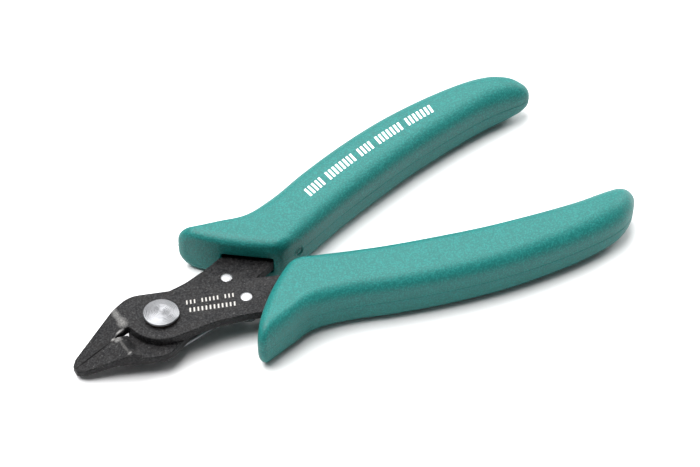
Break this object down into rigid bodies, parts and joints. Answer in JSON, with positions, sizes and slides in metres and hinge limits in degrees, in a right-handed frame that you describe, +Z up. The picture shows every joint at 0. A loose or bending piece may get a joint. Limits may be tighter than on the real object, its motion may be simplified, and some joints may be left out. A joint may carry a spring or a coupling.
{
  "type": "sprue nippers",
  "caption": "Spring-opened side cutter for model sprues: crossed steel blades on a rivet, angled jaws with a relief hole, and curved moulded grips with finger guards.",
  "frame": {"origin": "on the bench under the middle of the whole tool, lying flat and closed", "axes": "+X from the jaws towards the ends of the grips, +Y towards the far grip, +Z up off the bench, along the pivot axis"},
  "size_m": [0.1278, 0.0568, 0.0116],
  "materials": {
    "blade_steel": "blackened carbon steel with a fine blasted grain",
    "bright_steel": "turned bright steel",
    "washer_bronze": "dark oiled bronze",
    "spring_wire": "drawn spring wire",
    "grip_plastic": "matte vinyl with a fine sandy grain"
  },
  "bodies": {
    "near_handle": {"upper_blade": "blade_steel", "pivot_rivet": "bright_steel", "pivot_washer": "washer_bronze", "near_spring_pin": "bright_steel", "return_spring": "spring_wire", "near_grip": "grip_plastic"},
    "far_handle": {"lower_blade": "blade_steel", "far_spring_pin": "bright_steel", "far_grip": "grip_plastic"}
  },
  "joints": [
    {"name": "pivot", "type": "hinge", "parent": "near_handle", "child": "far_handle", "pos_m": [-0.0431, 0, 0], "axis": [0, 0, 1], "range_deg": [0, 14], "stiffness_Nm_per_rad": 2, "springref_deg": 17.19, "deforming": ["return_spring"]}
  ]
}
